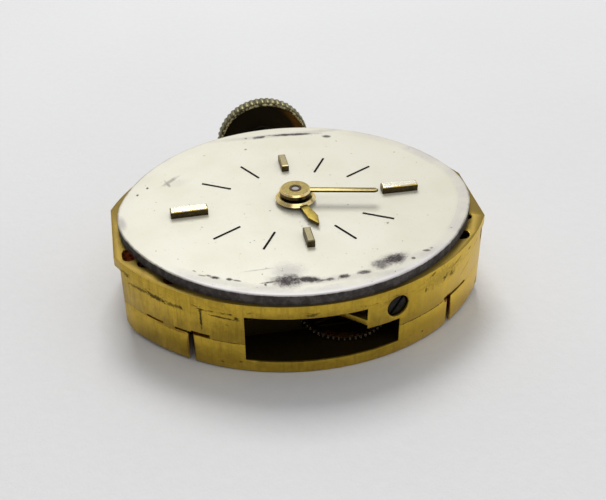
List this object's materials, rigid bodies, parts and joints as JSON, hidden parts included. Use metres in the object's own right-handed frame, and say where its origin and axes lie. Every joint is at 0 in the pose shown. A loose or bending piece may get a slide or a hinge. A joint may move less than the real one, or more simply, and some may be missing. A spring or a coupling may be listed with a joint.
{
  "type": "watch movement",
  "caption": "Small oval hand-wound watch movement: cream dial with applied batons, hands, knurled crown on its stem, gilt plate and bridges around the barrel, train and balance.",
  "frame": {"origin": "on the hands' axis at the outer face of the bridges, the face away from the dial", "axes": "+Z out of the dial, +Y along the winding stem to the crown at 3 o'clock, +X to 6 o'clock"},
  "size_m": [0.0144, 0.0161, 0.0048],
  "materials": {
    "gilt": "worn satin gilding",
    "dial_face": "satin, aged",
    "print": "matte",
    "gold": "polished",
    "crown_gilt": "worn and tarnished",
    "wheel_brass": "satin gilding",
    "copper": "bare copper",
    "steel": "polished",
    "dark_steel": "blackened",
    "spring_steel": "polished strip",
    "blue_steel": "blued strip",
    "ruby": "polished"
  },
  "bodies": {
    "plate": {"main_plate": "gilt", "barrel_bridge": "gilt", "train_bridge": "gilt", "balance_cock": "gilt", "pallet_bridge": "gilt", "pallet_bridge_screw": "steel", "bridge_screws": "steel", "cock_screw": "steel", "dial": "dial_face", "dial_feet": "copper", "hour_batons": "gold", "hour_lines": "print", "dial_foot_screws": "dark_steel", "plate_jewels": "ruby", "bridge_jewels": "ruby", "balance_jewel": "ruby", "balance_cap": "wheel_brass", "keyless_cover": "steel", "keyless_screws": "steel", "crown_wheel_screw": "steel", "click_screw": "steel", "click_spring": "steel", "hairspring_stud": "steel"},
    "third": {"third_wheel": "wheel_brass", "third_pinion": "steel"},
    "centre": {"centre_wheel": "wheel_brass", "centre_pinion": "steel", "cannon_pinion": "steel", "minute_hand": "gold"},
    "fourth": {"fourth_wheel": "wheel_brass", "fourth_pinion": "steel"},
    "escape": {"escape_wheel": "steel", "escape_pinion": "steel"},
    "barrel": {"barrel_drum": "wheel_brass", "barrel_cover": "wheel_brass", "mainspring": "spring_steel"},
    "hour": {"hour_wheel": "wheel_brass", "hour_hand": "gold"},
    "minute_work": {"minute_wheel": "wheel_brass"},
    "setting": {"setting_wheel": "steel"},
    "winding": {"winding_pinion": "steel"},
    "stem": {"winding_stem": "steel", "crown": "crown_gilt"},
    "sliding": {"sliding_pinion": "steel"},
    "crown_gear": {"crown_wheel": "steel"},
    "arbor": {"barrel_arbor": "steel", "ratchet_wheel": "steel", "ratchet_screw": "steel"},
    "lever": {"setting_lever": "steel"},
    "yoke": {"yoke": "steel"},
    "click": {"click": "steel"},
    "regulator": {"regulator": "steel"},
    "fork": {"pallet_fork": "steel", "pallet_stones": "ruby", "pallet_arbor": "steel"},
    "balance": {"balance_wheel": "wheel_brass", "balance_staff": "steel", "roller": "steel", "impulse_jewel": "ruby", "hairspring": "blue_steel"}
  },
  "joints": [
    {"name": "third_turn", "type": "hinge", "parent": "plate", "child": "third", "pos_m": [0.00174, -0.00182, 0.001], "axis": [0, 0, 1], "continuous": true},
    {"name": "centre_turn", "type": "hinge", "parent": "plate", "child": "centre", "pos_m": [0, 0, 0.0012], "axis": [0, 0, 1], "continuous": true},
    {"name": "fourth_turn", "type": "hinge", "parent": "plate", "child": "fourth", "pos_m": [0.00112, -0.00377, 0.001], "axis": [0, 0, 1], "continuous": true},
    {"name": "escape_turn", "type": "hinge", "parent": "plate", "child": "escape", "pos_m": [0.00294, -0.00377, 0.0019], "axis": [0, 0, 1], "continuous": true},
    {"name": "barrel_turn", "type": "hinge", "parent": "plate", "child": "barrel", "pos_m": [-0.00325, 0.00046, 0.0013], "axis": [0, 0, 1], "continuous": true, "deforming": ["mainspring"]},
    {"name": "hour_turn", "type": "hinge", "parent": "plate", "child": "hour", "pos_m": [0, 0, 0.0029], "axis": [0, 0, 1], "continuous": true},
    {"name": "minute_work_turn", "type": "hinge", "parent": "plate", "child": "minute_work", "pos_m": [0.00175, 0.00079, 0.0025], "axis": [0, 0, 1], "continuous": true},
    {"name": "setting_turn", "type": "hinge", "parent": "plate", "child": "setting", "pos_m": [0.00031, 0.00251, 0.0024], "axis": [0, 0, 1], "continuous": true},
    {"name": "crown_gear_turn", "type": "hinge", "parent": "plate", "child": "crown_gear", "pos_m": [0, 0.00296, 0.00028], "axis": [0, 0, 1], "continuous": true},
    {"name": "arbor_turn", "type": "hinge", "parent": "plate", "child": "arbor", "pos_m": [-0.00325, 0.00046, 0.00028], "axis": [0, 0, 1], "continuous": true},
    {"name": "lever_swing", "type": "hinge", "parent": "plate", "child": "lever", "pos_m": [0.00175, 0.00507, 0.0026], "axis": [0, 0, 1], "range_deg": [-15.32, 0]},
    {"name": "yoke_swing", "type": "hinge", "parent": "plate", "child": "yoke", "pos_m": [-0.0018, 0.00429, 0.0026], "axis": [0, 0, 1], "range_deg": [-12.55, 0]},
    {"name": "click_swing", "type": "hinge", "parent": "plate", "child": "click", "pos_m": [-0.00524, -0.00209, 0.00028], "axis": [0, 0, 1], "range_deg": [-8, 0]},
    {"name": "regulator_swing", "type": "hinge", "parent": "plate", "child": "regulator", "pos_m": [0.0042, -0.00075, 0.00015], "axis": [0, 0, 1], "range_deg": [-20, 20]},
    {"name": "fork_swing", "type": "hinge", "parent": "plate", "child": "fork", "pos_m": [0.00345, -0.00256, 0.00186], "axis": [0, 0, 1], "range_deg": [-5, 5]},
    {"name": "balance_swing", "type": "hinge", "parent": "plate", "child": "balance", "pos_m": [0.0042, -0.00075, 0.0011], "axis": [0, 0, 1], "range_deg": [-270, 270], "stiffness_Nm_per_rad": 0.0000000177, "deforming": ["hairspring"]},
    {"name": "crown_turn", "type": "hinge", "parent": "plate", "child": "winding", "pos_m": [0, 0.00458, 0.00145], "axis": [0, 1, 0], "continuous": true},
    {"name": "stem_pull", "type": "slide", "parent": "winding", "child": "stem", "axis": [0, 1, 0], "range_m": [0, 0.00045]},
    {"name": "clutch_shift", "type": "slide", "parent": "winding", "child": "sliding", "axis": [0, 1, 0], "range_m": [-0.00039, 0]}
  ],
  "couplings": [
    {"joint": "centre_turn", "follows": "third_turn", "ratio": -0.125},
    {"joint": "barrel_turn", "follows": "third_turn", "ratio": 0.017361},
    {"joint": "fourth_turn", "follows": "third_turn", "ratio": -9},
    {"joint": "escape_turn", "follows": "third_turn", "ratio": 75},
    {"joint": "minute_work_turn", "follows": "third_turn", "ratio": 0.041667},
    {"joint": "hour_turn", "follows": "third_turn", "ratio": -0.010417},
    {"joint": "setting_turn", "follows": "third_turn", "ratio": -0.075},
    {"joint": "crown_gear_turn", "follows": "crown_turn", "ratio": 0.67647},
    {"joint": "arbor_turn", "follows": "crown_turn", "ratio": -0.47917},
    {"joint": "clutch_shift", "follows": "stem_pull", "ratio": -0.86667},
    {"joint": "lever_swing", "follows": "stem_pull", "rad_per_m": -594.29},
    {"joint": "yoke_swing", "follows": "stem_pull", "rad_per_m": -486.69}
  ]
}
